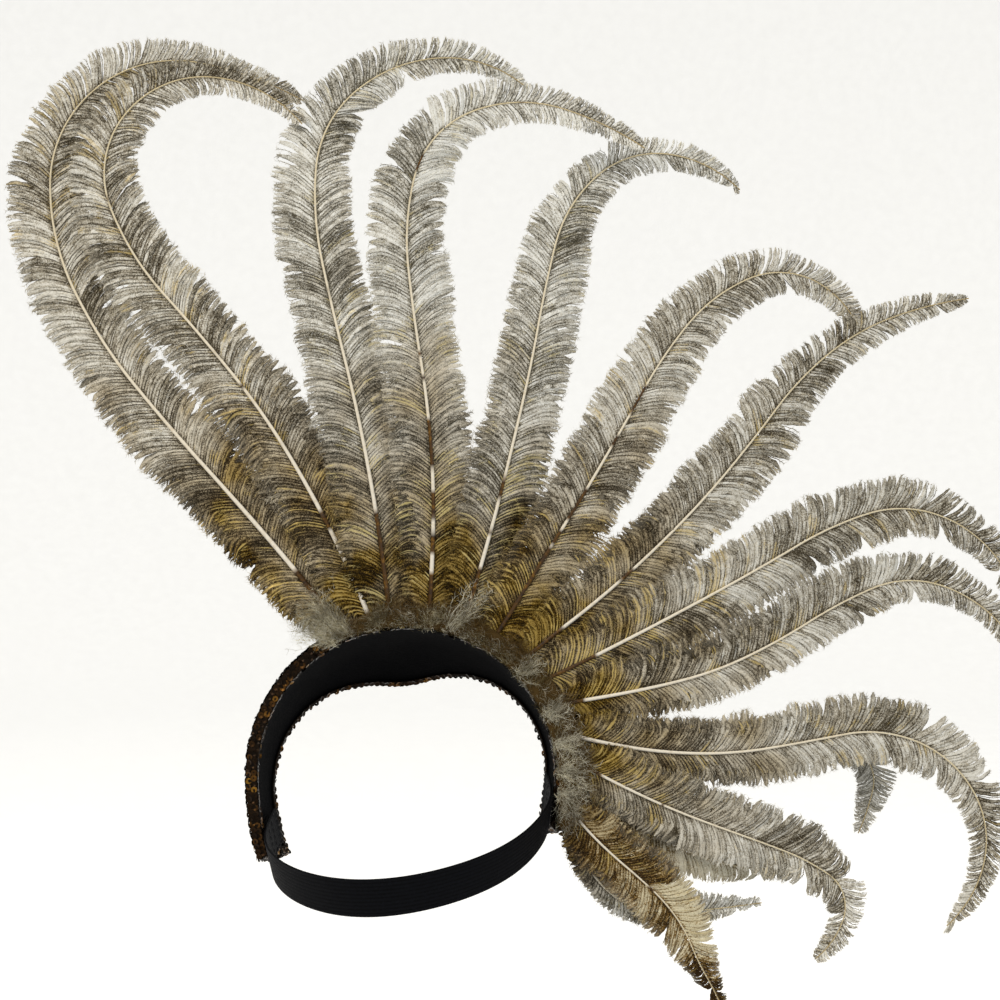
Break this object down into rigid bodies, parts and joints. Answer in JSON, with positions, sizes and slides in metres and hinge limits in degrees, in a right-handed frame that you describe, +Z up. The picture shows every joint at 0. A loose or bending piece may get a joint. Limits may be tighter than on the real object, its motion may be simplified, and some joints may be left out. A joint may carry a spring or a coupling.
{
  "type": "showgirl feather headdress",
  "caption": "Foam half cap covered in antique gold sequin fabric, closed by an elastic strap behind the head, with a one-sided fan of gold-tinted ostrich plumes along its back rim.",
  "frame": {"origin": "middle of the head opening at ear level, where the headdress sits on the head", "axes": "+X the wearer's right, +Y the way the wearer faces, +Z up"},
  "size_m": [0.5474, 0.1882, 0.5159],
  "materials": {
    "foam": "matt",
    "sequin_fabric": "sequined, glittering",
    "elastic": "ribbed",
    "felt": "matt",
    "down": "woolly",
    "feather": "gold-tinted barbs, satin"
  },
  "bodies": {
    "root": {"foam_cap": "foam", "sequin_cover": "sequin_fabric", "elastic_strap": "elastic", "quill_band": "felt", "down_trim": "down", "plume_01": "feather", "plume_02": "feather", "plume_03": "feather", "plume_04": "feather", "plume_05": "feather", "plume_06": "feather", "plume_07": "feather", "plume_08": "feather", "plume_09": "feather", "plume_10": "feather", "plume_11": "feather", "plume_12": "feather", "plume_13": "feather", "plume_14": "feather", "plume_15": "feather"}
  },
  "joints": []
}
